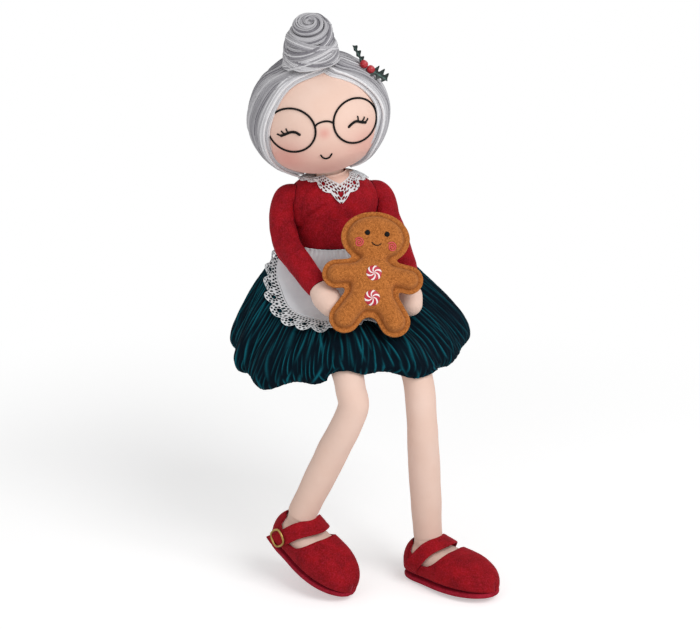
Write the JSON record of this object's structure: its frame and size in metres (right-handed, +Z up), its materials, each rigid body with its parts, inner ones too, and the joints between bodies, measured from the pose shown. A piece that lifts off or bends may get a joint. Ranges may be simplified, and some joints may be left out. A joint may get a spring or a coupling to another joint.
{
  "type": "shelf sitter doll",
  "caption": "Seated cloth doll with a yarn bun, velvet dress and lace apron, holding a padded felt toy; it sits on a shelf edge with hinged legs hanging down.",
  "frame": {"origin": "middle of the flat seat panel under the body, on the face that rests on a shelf", "axes": "+Z up, -Y the way the body faces, +X toward the left hand of the doll"},
  "size_m": [0.2101, 0.2425, 0.485],
  "materials": {
    "red_velvet": "short-pile velvet",
    "green_velvet": "crinkled short-pile velvet",
    "skin_cloth": "smooth stretch knit",
    "grey_yarn": "matt yarn",
    "white_cloth": "plain weave cotton",
    "white_lace": "machine embroidered cotton lace",
    "linen_cloth": "plain weave lining cloth",
    "brown_felt": "pressed felt",
    "leaf_plastic": "glossy moulded",
    "berry_plastic": "glossy moulded",
    "mint_thread": "satin stitch in two colours",
    "black_thread": "satin stitch",
    "old_brass": "darkened"
  },
  "bodies": {
    "torso": {"bodice": "red_velvet", "seat_panel": "linen_cloth", "pellet_bag": "linen_cloth", "collar_lace": "white_lace", "skirt": "green_velvet", "apron_panel": "white_cloth", "apron_lace": "white_lace"},
    "neck": {"neck": "skin_cloth"},
    "head": {"head": "skin_cloth", "hair_cap": "grey_yarn", "bun_core": "grey_yarn", "bun_coil": "grey_yarn", "holly_leaf_upper": "leaf_plastic", "holly_leaf_lower": "leaf_plastic", "holly_berry_upper": "berry_plastic", "holly_berry_lower": "berry_plastic"},
    "arms": {"sleeve_left": "red_velvet", "sleeve_right": "red_velvet", "hand_left": "skin_cloth", "hand_right": "skin_cloth", "toy_front": "brown_felt", "toy_back": "brown_felt", "toy_peppermint_upper": "mint_thread", "toy_peppermint_lower": "mint_thread", "toy_eye_left": "black_thread", "toy_eye_right": "black_thread"},
    "thigh_left": {"thigh_left": "skin_cloth"},
    "lower_leg_left": {"shin_left": "skin_cloth", "foot_left": "skin_cloth", "shoe_upper_left": "red_velvet", "shoe_sole_left": "red_velvet", "shoe_strap_left": "red_velvet", "buckle_frame_left": "old_brass"},
    "thigh_right": {"thigh_right": "skin_cloth"},
    "lower_leg_right": {"shin_right": "skin_cloth", "foot_right": "skin_cloth", "shoe_upper_right": "red_velvet", "shoe_sole_right": "red_velvet", "shoe_strap_right": "red_velvet", "buckle_frame_right": "old_brass"}
  },
  "joints": [
    {"name": "head_tilt", "type": "hinge", "parent": "torso", "child": "neck", "pos_m": [0, -0.001, 0.132], "axis": [0, 1, 0], "range_deg": [0, 16]},
    {"name": "head_turn", "type": "hinge", "parent": "neck", "child": "head", "pos_m": [0, -0.001, 0.132], "axis": [-0.1973, -0.0581, 0.9786], "range_deg": [-20, 20]},
    {"name": "arms_lift", "type": "hinge", "parent": "torso", "child": "arms", "pos_m": [0, 0, 0.127], "axis": [-1, 0, 0], "range_deg": [0, 28]},
    {"name": "leg_swing_left", "type": "hinge", "parent": "torso", "child": "thigh_left", "pos_m": [0.028, -0.022, 0.0175], "axis": [0.2342, -0.9702, -0.0619], "range_deg": [-4, 10]},
    {"name": "knee_left", "type": "hinge", "parent": "thigh_left", "child": "lower_leg_left", "pos_m": [0.052, -0.113, -0.045], "axis": [-0.9721, -0.2346, 0], "range_deg": [-15, 55]},
    {"name": "leg_swing_right", "type": "hinge", "parent": "torso", "child": "thigh_right", "pos_m": [-0.028, -0.022, 0.0175], "axis": [0.2134, -0.9753, -0.0564], "range_deg": [-10, 4]},
    {"name": "knee_right", "type": "hinge", "parent": "thigh_right", "child": "lower_leg_right", "pos_m": [-0.009, -0.115, -0.031], "axis": [-0.9769, -0.2137, 0], "range_deg": [-15, 55]}
  ]
}
